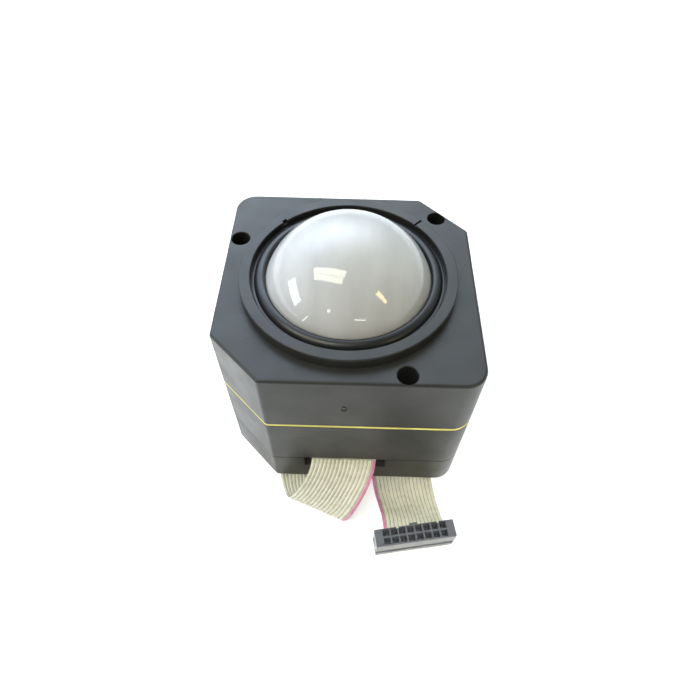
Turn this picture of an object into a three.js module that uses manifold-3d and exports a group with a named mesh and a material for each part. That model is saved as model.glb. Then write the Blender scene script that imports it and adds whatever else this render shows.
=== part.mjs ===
// Panel-mount trackball: a 50.8 mm ball in a three-piece square housing, read by two encoder
// shafts, with a 16-way flat ribbon cable that ends in a 2 x 8 socket.
// Millimetres, +Z up. The origin is on the standing surface, under the middle of the housing.
// +X is to the right and +Y to the back, seen from the side where the cable comes out.

import * as THREE from 'three';
import { mergeVertices } from 'three/addons/utils/BufferGeometryUtils.js';
import Module from 'manifold-3d';

const wasm = await Module();
wasm.setup();

// ---------------------------------------------------------------- driving dimensions

// housing outline and heights
const BODY_W = 73.0;
const BODY_D = 71.5;
const CHAMFER = 14.2;
const CORNER_R = 6.2;
const CHAMFER_END_R = 1.6;
const WALL = 2.6;
const PAD_H = 3.0;
const SEAM_Z = 17.0;
const GASKET_Z = 38.1;
const GASKET_T = 0.6;
const FLANGE_Z = 61.5;
const FLANGE_T = 4.0;
const BOSS_Z = 64.9;
const BOSS_R = 31.0;

// ball, retaining ring and seal
const BALL_R = 25.4;
const BALL_Z = 53.6;
const RING_SEAT_R = 27.75;
const RING_SEAT_Z = 62.9;
const LEDGE_R = 26.4;
const LEDGE_Z = 60.2;
const LUG_GROOVE_R = 28.1;
const LUG_ARC = 22;
const NOTCH_ARC = 26;
const RING_TURN = 28;
const LUG_AZIMUTHS = [75, 195, 315];
const RING_CROWN_Z = 64.45;
const RING_FOOT_Z = 58.2;
const SKIRT_R0 = 25.35;
const SKIRT_R1 = 26.1;
const LUG_R = 27.6;
const LUG_TOP_Z = 60.0;
// the ring's upper face from its outer edge to its lip beside the ball: radius, drop below the crown
const RING_CROWN = [
  [27.5, 0.9],
  [26.75, 0.85],
  [26.45, 0.45],
  [26.0, 0.15],
  [25.3, 0],
  [24.6, 0.15],
  [24.1, 0.5],
  [23.9, 0.95],
  [23.95, 1.25],
];
const SEAL_R = 31.0;
const SEAL_BORE_R = 25.65;
const SEAL_Z0 = 55.0;
const SEAL_Z1 = 57.2;
const INDEX_AZIMUTH = 45;
const INDEX_W = 0.8;
const INDEX_DEPTH = 0.6;
const PRY_AZIMUTH = 135;
const PRY_W = 1.6;
const PRY_DEPTH = 1.2;

// three panel screw holes, x and y
const HOLE_R = 2.75;
const HOLE_DEPTH = 14;
const HOLE_WALL = 1.8;
const HOLES = [[-33.1, 15.4], [27.1, 26.8], [15.8, -32.6]];

// four long screws that hold the housing together, x and y
const COVER_SCREWS = [[-31.2, 30.4], [31.2, -30.4], [-26.2, -25.3], [21.5, 30.8]];
const POST_R = 3.2;
const SCREW_R = 1.5;
const SCREW_HEAD_R = 2.75;
const SCREW_TOP_Z = 47;
const HEAD_SEAT_Z = 5.8;

// standing pads under the bottom cover: x, y, radius
const PADS = [[-26, 25, 4], [26, 19.5, 4], [33, -20, 2.8], [-31, -6, 3.5]];

// encoder shafts and idler: they touch the ball this far below its middle
const CONTACT_DROP = THREE.MathUtils.degToRad(30);
const RUN_GAP = 0.1;
const ROLLER_R = 3.0;
const ROLLER_LENGTH = 16;
const SHAFT_R = 1.5;
const SHAFT_FROM = -27;
const SHAFT_TO = 18;
const DISC_AT = -24;
const DISC_R = 8.0;
const DISC_T = 0.8;
const DISC_SLOTS = 20;
const IDLER_R = 5.0;
const IDLER_W = 4.0;
const BEARING_AT = [-18.75, 15.75];
const BEARING_R = 3.0;
const BEARING_W = 2.5;
const BLOCK_HALF = 4.4;
const BLOCK_T = 3.5;

// ball carrier and circuit board
const CARRIER_Z0 = 29.5;
const CARRIER_Z1 = 32.0;
const CARRIER_INSET = 3.1;
const CARRIER_BORE_R = 17;
const CARRIER_POST_R = 3.4;
const CARRIER_POST_Z = 22;
const SMALL_SCREW_R = 1.15;
const CARRIER_SCREWS = [[-31, 3], [3, -30.2], [31, 9]];
const BOARD_Z0 = 23.5;
const BOARD_Z1 = 25.1;
const BOARD_INSET = 5.4;
const BOARD_SCREW_R = 1.0;
const BOARD_SCREWS = [[-24, -2], [-2, -24], [24, 2], [2, 24]];

// cable slot and ribbon
const SLOT_X0 = -12.6;
const SLOT_X1 = 13.3;
const SLOT_Z = 11.5;
const RIBBON_W = 20.32;
const RIBBON_T = 0.9;
const FLAT_Z = 0.5;
const FOLD_Z = 1.7;

// socket on the far end of the ribbon
const SOCKET_X = 22.5;
const SOCKET_Y = -56.0;
const SOCKET_YAW = THREE.MathUtils.degToRad(9.4);
const SOCKET_L = 24.9;
const SOCKET_W = 5.2;
const SOCKET_TOP = 9.6;
const CONTACT_PITCH = 2.54;

// facets round a large circle, a middling one and a small one
const LARGE = 48;
const MIDDLE = 24;
const SMALL = 12;

// ---------------------------------------------------------------- materials

function plastic(color, roughness) {
  return new THREE.MeshStandardMaterial({ color, roughness, metalness: 0 });
}

function metal(color, roughness) {
  return new THREE.MeshStandardMaterial({ color, roughness, metalness: 1 });
}

const HOUSING = () => plastic(0x4a4d52, 0.55);
const STEEL = () => metal(0xb9bcc0, 0.25);
const BLACK = () => plastic(0x15161a, 0.3);

// ---------------------------------------------------------------- solids

function flipped(indices) {
  const out = indices.slice();
  for (let i = 0; i < out.length; i += 3) {
    [out[i], out[i + 1]] = [out[i + 1], out[i]];
  }
  return out;
}

function signedVolume(positions, indices) {
  const a = new THREE.Vector3();
  const b = new THREE.Vector3();
  const c = new THREE.Vector3();
  let volume = 0;
  for (let i = 0; i < indices.length; i += 3) {
    a.fromArray(positions, indices[i] * 3);
    b.fromArray(positions, indices[i + 1] * 3);
    c.fromArray(positions, indices[i + 2] * 3);
    volume += a.dot(b.cross(c)) / 6;
  }
  return volume;
}

// a closed geometry becomes a solid that can be joined and cut
function solid(geometry) {
  const bare = geometry.clone();
  bare.deleteAttribute('normal');
  bare.deleteAttribute('uv');
  const merged = mergeVertices(bare, 1e-4);
  const vertProperties = new Float32Array(merged.attributes.position.array);
  let triVerts = new Uint32Array(merged.index.array);
  if (signedVolume(vertProperties, triVerts) < 0) triVerts = flipped(triVerts);
  return new wasm.Manifold(new wasm.Mesh({ numProp: 3, vertProperties, triVerts }));
}

function geometryOf(manifold) {
  const { vertProperties, triVerts } = manifold.getMesh();
  const geometry = new THREE.BufferGeometry();
  geometry.setAttribute('position', new THREE.BufferAttribute(new Float32Array(vertProperties), 3));
  geometry.setIndex(new THREE.BufferAttribute(new Uint32Array(triVerts), 1));
  return geometry;
}

function joined(first, ...rest) {
  return rest.reduce((sum, piece) => sum.add(piece), first);
}

function cut(first, ...tools) {
  return tools.reduce((left, tool) => left.subtract(tool), first);
}

const group = new THREE.Group();

function place(name, shape, material) {
  const geometry = shape.isBufferGeometry ? geometryOf(solid(shape)) : geometryOf(shape);
  geometry.computeVertexNormals();
  const mesh = new THREE.Mesh(geometry, material);
  mesh.name = name;
  group.add(mesh);
  return mesh;
}

// ---------------------------------------------------------------- basic shapes

function cylinder(radius, z0, z1, x = 0, y = 0, segments = SMALL) {
  const geometry = new THREE.CylinderGeometry(radius, radius, z1 - z0, segments);
  geometry.rotateX(Math.PI / 2);
  geometry.translate(x, y, (z0 + z1) / 2);
  return solid(geometry);
}

// one cylinder for each of several places in x and y
function cylinders(places, radius, z0, z1, segments = SMALL) {
  return places.map(([x, y]) => cylinder(radius, z0, z1, x, y, segments));
}

function box(x0, x1, y0, y1, z0, z1) {
  const geometry = new THREE.BoxGeometry(x1 - x0, y1 - y0, z1 - z0);
  geometry.translate((x0 + x1) / 2, (y0 + y1) / 2, (z0 + z1) / 2);
  return solid(geometry);
}

// a closed outline of radius and height, turned round the Z axis
function turned(outline, segments = LARGE) {
  const points = outline.map(([r, z]) => new THREE.Vector2(r, z));
  const onAxis = outline[0][0] === 0;
  if (!onAxis) points.push(points[0].clone());
  const geometry = new THREE.LatheGeometry(points, segments);
  geometry.rotateX(Math.PI / 2);
  return solid(geometry);
}

function tube(inner, outer, z0, z1, segments = MIDDLE) {
  return turned([[inner, z0], [outer, z0], [outer, z1], [inner, z1]], segments);
}

function extruded(shape, z0, z1, curveSegments = 4) {
  const geometry = new THREE.ExtrudeGeometry(shape, {
    depth: z1 - z0,
    bevelEnabled: false,
    curveSegments,
  });
  geometry.translate(0, 0, z0);
  return solid(geometry);
}

// a convex outline, counter-clockwise, with each corner rounded by its own radius
function roundedOutline(corners) {
  const shape = new THREE.Shape();
  const points = corners.map(([x, y]) => new THREE.Vector2(x, y));
  corners.forEach(([, , radius], i) => {
    const corner = points[i];
    const before = points.at(i - 1).clone().sub(corner).normalize();
    const after = points[(i + 1) % points.length].clone().sub(corner).normalize();
    const half = Math.acos(before.dot(after)) / 2;
    const inwards = before.clone().add(after).normalize();
    const centre = inwards.multiplyScalar(radius / Math.sin(half)).add(corner);
    const start = Math.atan2(-after.y, -after.x) + 2 * half - Math.PI / 2;
    const end = start + Math.PI - 2 * half;
    shape.absarc(centre.x, centre.y, radius, start, end, false);
  });
  shape.closePath();
  return shape;
}

// the housing's outline, moved inwards by an even distance
function bodyOutline(inset) {
  const x = BODY_W / 2 - inset;
  const y = BODY_D / 2 - inset;
  const c = CHAMFER - (2 - Math.SQRT2) * inset;
  const round = Math.max(CORNER_R - inset, 0.6);
  return roundedOutline([
    [-x + c, -y, CHAMFER_END_R],
    [x, -y, round],
    [x, y - c, CHAMFER_END_R],
    [x - c, y, CHAMFER_END_R],
    [-x, y, round],
    [-x, -y + c, CHAMFER_END_R],
  ]);
}

// a wedge of a disc, for the ring's lugs and the notches they enter by
function sector(radius, azimuth, arc, z0, z1) {
  const half = THREE.MathUtils.degToRad(arc / 2);
  const shape = new THREE.Shape();
  shape.moveTo(0, 0);
  shape.lineTo(radius * Math.cos(half), -radius * Math.sin(half));
  shape.absarc(0, 0, radius, -half, half, false);
  shape.closePath();
  const wedge = extruded(shape, z0, z1, 4);
  return wedge.rotate([0, 0, azimuth]);
}

// a narrow radial groove, centred on an azimuth
function radialCut(r0, r1, width, azimuth, z0, z1) {
  return box(r0, r1, -width / 2, width / 2, z0, z1).rotate([0, 0, azimuth]);
}

// ---------------------------------------------------------------- housing

// the seal's collar and the posts that the screws go up into
function topPosts() {
  const floor = GASKET_Z + GASKET_T;
  const top = FLANGE_Z - 1;
  const holeFloor = FLANGE_Z - HOLE_DEPTH - 2;
  const collarTop = FLANGE_Z - FLANGE_T + 0.5;
  const collar = tube(SEAL_R + 0.3, BODY_D / 2 - WALL + 0.3, SEAL_Z0 - 0.2, collarTop, LARGE);
  const holePosts = cylinders(HOLES, HOLE_R + HOLE_WALL, holeFloor, top, MIDDLE);
  const screwPosts = cylinders(COVER_SCREWS, POST_R, floor, top);
  const envelope = extruded(bodyOutline(0.05), floor, FLANGE_Z - 0.5);
  return joined(collar, ...holePosts, ...screwPosts).intersect(envelope);
}

function topHousing() {
  const shell = extruded(bodyOutline(0), GASKET_Z + GASKET_T, FLANGE_Z);
  const inside = extruded(bodyOutline(WALL), GASKET_Z, FLANGE_Z - FLANGE_T);
  const boss = cylinder(BOSS_R, FLANGE_Z - 1, BOSS_Z, 0, 0, LARGE);
  const body = joined(cut(shell, inside), boss, topPosts());
  const seat = cylinder(RING_SEAT_R, RING_SEAT_Z, BOSS_Z + 1, 0, 0, LARGE);
  const ledgeBore = cylinder(LEDGE_R, LEDGE_Z - 1, RING_SEAT_Z + 1, 0, 0, LARGE);
  const lugGroove = cylinder(LUG_GROOVE_R, SEAL_Z1, LEDGE_Z, 0, 0, LARGE);
  const notches = LUG_AZIMUTHS.map((azimuth) => (
    sector(LUG_GROOVE_R + 0.2, azimuth + RING_TURN, NOTCH_ARC, LEDGE_Z - 1, RING_SEAT_Z + 0.5)
  ));
  const panelHoles = cylinders(HOLES, HOLE_R, FLANGE_Z - HOLE_DEPTH, FLANGE_Z + 1, MIDDLE);
  const pilots = cylinders(COVER_SCREWS, SCREW_R + 0.05, GASKET_Z, SCREW_TOP_Z + 1);
  const start = RING_SEAT_R - 0.5;
  const index = radialCut(start, BOSS_R - 0.3, INDEX_W, INDEX_AZIMUTH, BOSS_Z - INDEX_DEPTH, BOSS_Z + 1);
  const pry = radialCut(start, RING_SEAT_R + 0.9, PRY_W, PRY_AZIMUTH, BOSS_Z - PRY_DEPTH, BOSS_Z + 1);
  return cut(body, seat, ledgeBore, lugGroove, ...notches, ...panelHoles, ...pilots, index, pry);
}

function middleHousing() {
  const shell = extruded(bodyOutline(0), SEAM_Z, GASKET_Z);
  const inside = extruded(bodyOutline(WALL), SEAM_Z - 1, GASKET_Z + 1);
  const ledge = cut(
    extruded(bodyOutline(WALL - 0.5), CARRIER_Z0 - 1.9, CARRIER_Z0 - 0.1),
    extruded(bodyOutline(WALL + 2.4), CARRIER_Z0 - 3, CARRIER_Z0 + 1),
  );
  const screwPosts = cylinders(COVER_SCREWS, POST_R, SEAM_Z, GASKET_Z);
  const carrierPosts = cylinders(CARRIER_SCREWS, CARRIER_POST_R, CARRIER_POST_Z, CARRIER_Z0 - 0.1);
  const posts = joined(ledge, ...screwPosts, ...carrierPosts);
  const envelope = extruded(bodyOutline(0.05), SEAM_Z, GASKET_Z);
  const body = cut(shell, inside).add(posts.intersect(envelope));
  const clearances = cylinders(COVER_SCREWS, SCREW_R + 0.2, SEAM_Z - 1, GASKET_Z + 1);
  const pilots = cylinders(CARRIER_SCREWS, SMALL_SCREW_R + 0.05, CARRIER_POST_Z + 1.5, CARRIER_Z0 + 1);
  return cut(body, ...clearances, ...pilots);
}

function bottomCover() {
  const shell = extruded(bodyOutline(0), PAD_H, SEAM_Z);
  const inside = extruded(bodyOutline(WALL), PAD_H + WALL, SEAM_Z + 1);
  const posts = joined(...cylinders(COVER_SCREWS, POST_R + 0.4, PAD_H, SEAM_Z));
  const envelope = extruded(bodyOutline(0.05), PAD_H, SEAM_Z);
  const pads = PADS.map(([x, y, r]) => cylinder(r, 0, PAD_H + 1, x, y));
  const body = joined(cut(shell, inside), posts.intersect(envelope), ...pads);
  const clearances = cylinders(COVER_SCREWS, SCREW_R + 0.2, PAD_H - 1, SEAM_Z + 1);
  const heads = cylinders(COVER_SCREWS, SCREW_HEAD_R + 0.3, PAD_H - 1, HEAD_SEAT_Z + 0.1);
  const slot = box(SLOT_X0, SLOT_X1, -BODY_D / 2 - 1, -BODY_D / 2 + WALL + 1, SLOT_Z, SEAM_Z + 1);
  return cut(body, ...clearances, ...heads, slot);
}

function housingGasket() {
  const outer = extruded(bodyOutline(0.02), GASKET_Z + 0.02, GASKET_Z + GASKET_T - 0.02);
  const inner = extruded(bodyOutline(WALL - 0.2), GASKET_Z - 1, GASKET_Z + GASKET_T + 1);
  return cut(outer, inner);
}

// a pan-head screw that points up from its head, or down when its tip is lower
function screw(x, y, headZ, tipZ, radius, headR, headH) {
  const down = tipZ < headZ ? -1 : 1;
  return turned([
    [0, headZ - down * headH],
    [headR, headZ - down * headH],
    [headR, headZ],
    [radius, headZ],
    [radius, tipZ - down * 0.6],
    [radius * 0.5, tipZ],
    [0, tipZ],
  ], SMALL).translate([x, y, 0]);
}

// ---------------------------------------------------------------- ball, ring and seal

function ball() {
  const geometry = new THREE.SphereGeometry(BALL_R, 36, 20);
  geometry.rotateX(Math.PI / 2);
  geometry.translate(0, 0, BALL_Z);
  return geometry;
}

function retainingRing() {
  const body = turned([
    [SKIRT_R0, RING_FOOT_Z],
    [SKIRT_R1, RING_FOOT_Z],
    [SKIRT_R1, RING_SEAT_Z + 0.05],
    [RING_SEAT_R - 0.25, RING_SEAT_Z + 0.05],
    ...RING_CROWN.map(([r, drop]) => [r, RING_CROWN_Z - drop]),
    [SKIRT_R0, 61.4],
  ]);
  const bore = cylinder(SKIRT_R0 + 0.35, RING_FOOT_Z - 1, LUG_TOP_Z + 1, 0, 0, LARGE);
  const lugs = LUG_AZIMUTHS.map((azimuth) => sector(LUG_R, azimuth, LUG_ARC, RING_FOOT_Z, LUG_TOP_Z));
  return body.add(cut(joined(...lugs), bore));
}

function ballSeal() {
  return turned([
    [SEAL_BORE_R + 1.2, SEAL_Z0],
    [SEAL_R, SEAL_Z0],
    [SEAL_R, SEAL_Z1 - 0.1],
    [SEAL_BORE_R + 1.2, SEAL_Z1 - 0.1],
    [SEAL_BORE_R, SEAL_Z1 - 0.5],
    [SEAL_BORE_R, SEAL_Z1 - 1.0],
  ]);
}

// ---------------------------------------------------------------- encoder shafts

const ROLLER_REACH = BALL_R + ROLLER_R + RUN_GAP;
const SHAFT_OFF = ROLLER_REACH * Math.cos(CONTACT_DROP);
const SHAFT_Z = BALL_Z - ROLLER_REACH * Math.sin(CONTACT_DROP);

// a piece made along Z is laid along the shaft that runs along X, or along the one along Y
function onShaft(piece, alongX) {
  const laid = piece.rotate([0, 90, 0]);
  const inPlace = laid.translate([0, SHAFT_OFF, SHAFT_Z]);
  return alongX ? inPlace : mirroredToY(inPlace);
}

// swaps x and y by a reflection in the diagonal plane
function mirroredToY(piece) {
  return piece.mirror([1, -1, 0]);
}

function shaft() {
  return turned([
    [0, SHAFT_FROM],
    [SHAFT_R - 0.3, SHAFT_FROM],
    [SHAFT_R, SHAFT_FROM + 0.3],
    [SHAFT_R, SHAFT_TO - 0.3],
    [SHAFT_R - 0.3, SHAFT_TO],
    [0, SHAFT_TO],
  ], SMALL);
}

function roller() {
  return tube(SHAFT_R + 0.05, ROLLER_R, -ROLLER_LENGTH / 2, ROLLER_LENGTH / 2);
}

function encoderDisc() {
  const shape = new THREE.Shape();
  shape.absarc(0, 0, DISC_R, 0, 2 * Math.PI, false);
  for (let i = 0; i < DISC_SLOTS; i += 1) {
    const angle = (i / DISC_SLOTS) * 2 * Math.PI;
    const along = new THREE.Vector2(Math.cos(angle), Math.sin(angle));
    const across = new THREE.Vector2(-along.y, along.x).multiplyScalar(0.5);
    const inner = along.clone().multiplyScalar(5.2);
    const outer = along.clone().multiplyScalar(7.4);
    const slot = new THREE.Path();
    slot.moveTo(inner.x - across.x, inner.y - across.y);
    slot.lineTo(inner.x + across.x, inner.y + across.y);
    slot.lineTo(outer.x + across.x, outer.y + across.y);
    slot.lineTo(outer.x - across.x, outer.y - across.y);
    slot.closePath();
    shape.holes.push(slot);
  }
  const web = extruded(shape, DISC_AT - DISC_T / 2, DISC_AT + DISC_T / 2, 16);
  const hub = cylinder(2.8, DISC_AT - 2.4, DISC_AT + 1.4, 0, 0, SMALL);
  const bore = cylinder(SHAFT_R + 0.05, DISC_AT - 4, DISC_AT + 4, 0, 0, SMALL);
  return web.add(hub).subtract(bore);
}

function bearingOuter(at) {
  return tube(2.4, BEARING_R, at - BEARING_W / 2, at + BEARING_W / 2, SMALL);
}

function bearingInner(at) {
  return tube(SHAFT_R + 0.05, 2.0, at - BEARING_W / 2, at + BEARING_W / 2, SMALL);
}

// ---------------------------------------------------------------- idler

const IDLER_REACH = BALL_R + IDLER_R + RUN_GAP;
const IDLER_OFF = IDLER_REACH * Math.cos(CONTACT_DROP);
const IDLER_Z = BALL_Z - IDLER_REACH * Math.sin(CONTACT_DROP);

// a piece made round the X axis, pointing outwards along -Y, is turned to the front-left corner
function atIdler(piece) {
  return piece.rotate([0, 0, -45]);
}

function idlerWheel() {
  const wheel = tube(1.56, IDLER_R, -IDLER_W / 2, IDLER_W / 2).rotate([0, 90, 0]);
  return atIdler(wheel.translate([0, -IDLER_OFF, IDLER_Z]));
}

function idlerPin() {
  const pin = cylinder(1.5, -4.6, 4.6).rotate([0, 90, 0]);
  return atIdler(pin.translate([0, -IDLER_OFF, IDLER_Z]));
}

function idlerBracket() {
  const y0 = -IDLER_OFF - 2.6;
  const y1 = -IDLER_OFF + 2.6;
  const z0 = CARRIER_Z1 + 0.02;
  const foot = box(-4.4, 4.4, y0, y1, z0, z0 + 1.0);
  const ears = [-3.5, 3.5].map((x) => box(x - 0.9, x + 0.9, y0, y1, z0, IDLER_Z + 2.6));
  const pinHole = cylinder(1.56, -6, 6).rotate([0, 90, 0]).translate([0, -IDLER_OFF, IDLER_Z]);
  return atIdler(cut(joined(foot, ...ears), pinHole));
}

// ---------------------------------------------------------------- carrier and board

function bearingBlocks() {
  const blocks = BEARING_AT.flatMap((at) => {
    const y0 = SHAFT_OFF - BLOCK_HALF;
    const y1 = SHAFT_OFF + BLOCK_HALF;
    const block = box(at - BLOCK_T / 2, at + BLOCK_T / 2, y0, y1, CARRIER_Z1 - 0.5, SHAFT_Z + BLOCK_HALF);
    return [block, mirroredToY(block)];
  });
  return joined(...blocks);
}

function bearingBores() {
  const bore = cylinder(BEARING_R + 0.1, -30, 30);
  return onShaft(bore, true).add(onShaft(bore, false));
}

function ballCarrier() {
  const plate = extruded(bodyOutline(CARRIER_INSET), CARRIER_Z0, CARRIER_Z1);
  const below = CARRIER_Z0 - 1;
  const above = CARRIER_Z1 + 1;
  const centre = cylinder(CARRIER_BORE_R, below, above, 0, 0, LARGE);
  const postGaps = cylinders(COVER_SCREWS, POST_R + 0.5, below, above);
  const window = box(DISC_AT - 4.4, DISC_AT + 3.35, SHAFT_OFF - 6.2, SHAFT_OFF + 6.2, below, above);
  const screwHoles = cylinders(CARRIER_SCREWS, SMALL_SCREW_R + 0.25, below, above);
  const legs = cylinders(BOARD_SCREWS, 2.3, BOARD_Z1 + 0.1, CARRIER_Z0 + 0.5);
  const legHoles = cylinders(BOARD_SCREWS, BOARD_SCREW_R + 0.05, BOARD_Z1 - 1, CARRIER_Z0 + 1.2);
  const base = cut(plate, centre, ...postGaps, window, mirroredToY(window), ...screwHoles);
  return cut(joined(base, bearingBlocks(), ...legs), bearingBores(), ...legHoles);
}

function circuitBoard() {
  const board = extruded(bodyOutline(BOARD_INSET), BOARD_Z0, BOARD_Z1);
  const postGaps = cylinders(COVER_SCREWS, POST_R + 0.5, BOARD_Z0 - 1, BOARD_Z1 + 1);
  const bossGaps = cylinders(CARRIER_SCREWS, CARRIER_POST_R + 0.5, BOARD_Z0 - 1, BOARD_Z1 + 1);
  const holes = cylinders(BOARD_SCREWS, BOARD_SCREW_R + 0.3, BOARD_Z0 - 1, BOARD_Z1 + 1);
  return cut(board, ...postGaps, ...bossGaps, ...holes);
}

// a forked light sensor that the disc's rim runs through
function encoderSensor() {
  const z0 = BOARD_Z1 + 0.05;
  const block = box(DISC_AT - 3.1, DISC_AT + 3.1, SHAFT_OFF - 5, SHAFT_OFF + 5, z0, 34.8);
  const gap = box(DISC_AT - 1.2, DISC_AT + 1.2, SHAFT_OFF - 6, SHAFT_OFF + 6, 30.3, 36);
  return block.subtract(gap);
}

function controllerChip() {
  const z0 = BOARD_Z1 + 0.05;
  return joined(box(-1, 17, 5.2, 12.8, z0 + 0.2, z0 + 2.3), box(-0.6, 16.6, 4.0, 14.0, z0, z0 + 0.6));
}

// ---------------------------------------------------------------- ribbon cable

// Each row is one crossing line of the flat cable: its plain edge, then its striped edge.
const HALF_W = RIBBON_W / 2;
const CABLE_EXIT_Y = -BODY_D / 2 - 0.15;
const RETURN_X = -12.5;
const CROSS_Y = -8.0;
const RUN_X = 19.3;

function level(x0, y0, x1, y1, z) {
  return [[x0, y0, z], [x1, y1, z]];
}

const FRONT_LOOP = [
  [[-10.16, CABLE_EXIT_Y, 16.3], [10.16, CABLE_EXIT_Y, 16.3]],
  [[-10.5, -38.1, 15.7], [9.7, -38.6, 16.0]],
  [[-11.6, -40.4, 13.7], [8.5, -42.2, 14.2]],
  [[-13.2, -42.3, 11.2], [6.6, -45.7, 11.8]],
  [[-15.1, -43.6, 8.2], [4.4, -48.7, 8.8]],
  [[-16.8, -43.9, 5.3], [2.4, -50.5, 5.9]],
  [[-17.9, -43.4, 3.2], [1.2, -50.9, 3.9]],
  [[-18.7, -42.3, 1.5], [0.4, -50.1, 1.8]],
  [[-19.4, -40.9, 0.7], [-0.2, -48.3, 0.75]],
  [[-20.4, -38.4, FLAT_Z], [-0.9, -44.4, FLAT_Z]],
  [[-21.6, -34.0, FLAT_Z], [-1.5, -37.2, FLAT_Z]],
  [[-22.3, -29.0, FLAT_Z], [-2.05, -30.3, FLAT_Z]],
];

// the half turn of a flat fold: out from the crease and back on the layer above
function crease(edge, stripe, outX, outY) {
  const middle = (FLAT_Z + FOLD_Z) / 2;
  const radius = (FOLD_Z - FLAT_Z) / 2;
  return [0, 45, 90, 135, 180].map((degrees) => {
    const angle = THREE.MathUtils.degToRad(degrees);
    const out = radius * Math.sin(angle);
    const z = middle - radius * Math.cos(angle);
    return [
      [edge[0] + outX * out, edge[1] + outY * out, z],
      [stripe[0] + outX * out, stripe[1] + outY * out, z],
    ];
  });
}

const UNDER_FOLDS = [
  level(RETURN_X - HALF_W, -22, RETURN_X + HALF_W, -22, FLAT_Z),
  ...crease(
    [RETURN_X - HALF_W, CROSS_Y - HALF_W],
    [RETURN_X + HALF_W, CROSS_Y + HALF_W],
    -Math.SQRT1_2,
    Math.SQRT1_2,
  ),
  level(-0.5, CROSS_Y - HALF_W, -0.5, CROSS_Y + HALF_W, FOLD_Z),
  level(3.5, CROSS_Y - HALF_W, 3.5, CROSS_Y + HALF_W, 1.1),
  level(7.5, CROSS_Y - HALF_W, 7.5, CROSS_Y + HALF_W, FLAT_Z),
  ...crease(
    [RUN_X + HALF_W, CROSS_Y - HALF_W],
    [RUN_X - HALF_W, CROSS_Y + HALF_W],
    Math.SQRT1_2,
    Math.SQRT1_2,
  ),
  level(RUN_X + HALF_W, -20, RUN_X - HALF_W, -20, FOLD_Z),
];

const RUN_OUT = [
  [[29.5, -25.5, 1.1], [9.2, -25.2, 1.1]],
  [[29.6, -31.0, FLAT_Z], [9.35, -30.4, FLAT_Z]],
  [[30.0, -36.5, FLAT_Z], [9.75, -35.4, FLAT_Z]],
  [[30.8, -42.0, 0.65], [10.6, -40.4, 0.65]],
  [[31.7, -46.6, 1.5], [11.6, -44.2, 1.5]],
  [[32.3, -50.0, 2.8], [12.25, -47.1, 2.8]],
  [[32.66, -52.0, 3.45], [12.62, -48.9, 3.45]],
  [[33.2, -56.5, 3.45], [13.2, -53.2, 3.45]],
];

const CABLE_ROWS = [...FRONT_LOOP, ...UNDER_FOLDS, ...RUN_OUT];

const INNER_ROWS = [
  [[-HALF_W, -15.8, 19.6], [HALF_W, -15.8, 19.6]],
  [[-HALF_W, -24.0, 19.5], [HALF_W, -24.0, 19.5]],
  [[-HALF_W, -28.0, 18.8], [HALF_W, -28.0, 18.8]],
  [[-HALF_W, -30.6, 17.3], [HALF_W, -30.6, 17.3]],
  [[-HALF_W, -33.0, 16.35], [HALF_W, -33.0, 16.35]],
  [[-HALF_W, CABLE_EXIT_Y + 0.3, 16.3], [HALF_W, CABLE_EXIT_Y + 0.3, 16.3]],
];

// a flat strip through its crossing lines, with an even thickness
function ribbon(rows) {
  const lines = rows.map(([edge, stripe]) => [new THREE.Vector3(...edge), new THREE.Vector3(...stripe)]);
  const middles = lines.map(([edge, stripe]) => edge.clone().add(stripe).multiplyScalar(0.5));
  const positions = [];
  lines.forEach(([edge, stripe], i) => {
    const before = middles[Math.max(i - 1, 0)];
    const after = middles[Math.min(i + 1, lines.length - 1)];
    const forward = after.clone().sub(before).normalize();
    const across = stripe.clone().sub(edge).normalize();
    const up = across.cross(forward).normalize().multiplyScalar(RIBBON_T / 2);
    for (const corner of [
      edge.clone().add(up),
      stripe.clone().add(up),
      stripe.clone().sub(up),
      edge.clone().sub(up),
    ]) positions.push(...corner.toArray());
  });
  const indices = [];
  for (let i = 0; i + 1 < lines.length; i += 1) {
    for (let k = 0; k < 4; k += 1) {
      const a = i * 4 + k;
      const b = i * 4 + ((k + 1) % 4);
      indices.push(a, b, b + 4, a, b + 4, a + 4);
    }
  }
  const last = (lines.length - 1) * 4;
  indices.push(0, 2, 1, 0, 3, 2, last, last + 1, last + 2, last, last + 2, last + 3);
  const geometry = new THREE.BufferGeometry();
  geometry.setAttribute('position', new THREE.Float32BufferAttribute(positions, 3));
  geometry.setIndex(indices);
  return geometry;
}

// ---------------------------------------------------------------- sockets

function atSocket(piece) {
  return piece.rotate([0, 0, THREE.MathUtils.radToDeg(SOCKET_YAW)]).translate([SOCKET_X, SOCKET_Y, 0]);
}

function socketBody() {
  const halfL = SOCKET_L / 2;
  const halfW = SOCKET_W / 2;
  const block = box(-halfL, halfL, -halfW, halfW, 4.15, SOCKET_TOP);
  const key = box(-1.2, 1.2, halfW - 0.1, halfW + 0.7, 5.4, SOCKET_TOP - 0.3);
  const holes = [];
  for (let column = 0; column < 8; column += 1) {
    for (const row of [-0.5, 0.5]) {
      const x = (column - 3.5) * CONTACT_PITCH;
      const y = row * CONTACT_PITCH;
      holes.push(box(x - 0.65, x + 0.65, y - 0.65, y + 0.65, SOCKET_TOP - 4, SOCKET_TOP + 1));
    }
  }
  return atSocket(cut(joined(block, key), ...holes));
}

function socketClamp() {
  const halfL = SOCKET_L / 2;
  return atSocket(joined(
    box(-halfL, halfL, -SOCKET_W / 2, SOCKET_W / 2, 0.05, 2.75),
    box(-halfL, -halfL + 1.1, -1.4, 1.4, 2.7, 3.9),
    box(halfL - 1.1, halfL, -1.4, 1.4, 2.7, 3.9),
  ));
}

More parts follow.
